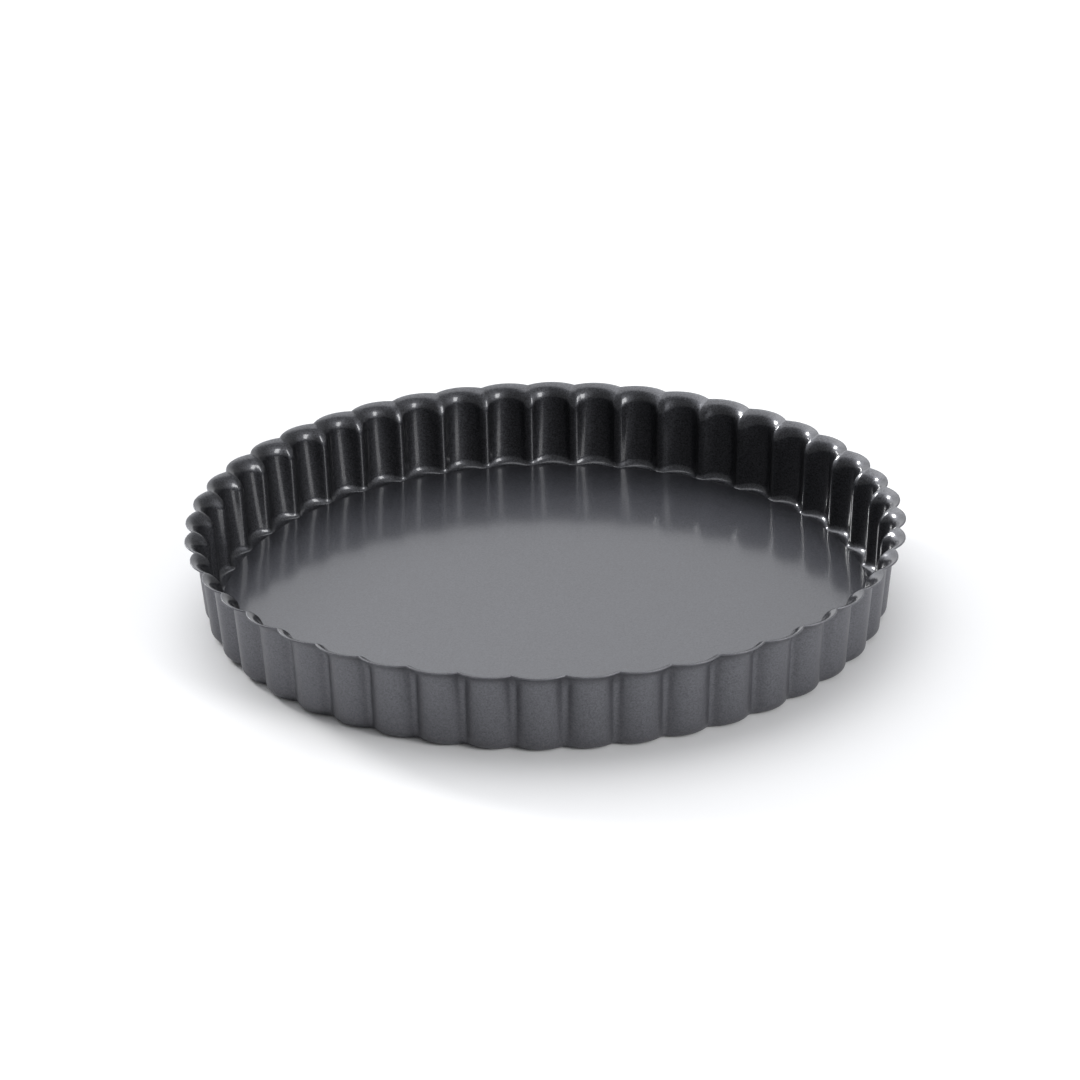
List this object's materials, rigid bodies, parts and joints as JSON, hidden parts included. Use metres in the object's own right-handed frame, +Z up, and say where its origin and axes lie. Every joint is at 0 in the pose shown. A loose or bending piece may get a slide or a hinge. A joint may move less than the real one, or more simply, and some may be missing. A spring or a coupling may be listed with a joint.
{
  "type": "tart pan",
  "caption": "Round fluted tart pan in dark non-stick coated sheet steel, with a flared scalloped rim and a loose flat base that lifts out.",
  "frame": {"origin": "centre of the pan on the table plane, under the ring's flat ledge", "axes": "+Z up along the axis of the ring, towards the flared rim; +X through the crown of a flute"},
  "size_m": [0.28, 0.28, 0.0338],
  "materials": {
    "ring_coating": "dark grey non-stick coating with a fine sparkle, satin",
    "base_coating": "dark grey non-stick coating with a fine sparkle, satin"
  },
  "bodies": {
    "ring": {"fluted_ring": "ring_coating"},
    "base": {"base_disc": "base_coating"}
  },
  "joints": [
    {"name": "base_lift", "type": "slide", "parent": "ring", "child": "base", "axis": [0, 0, 1], "range_m": [0, 0.045]}
  ]
}
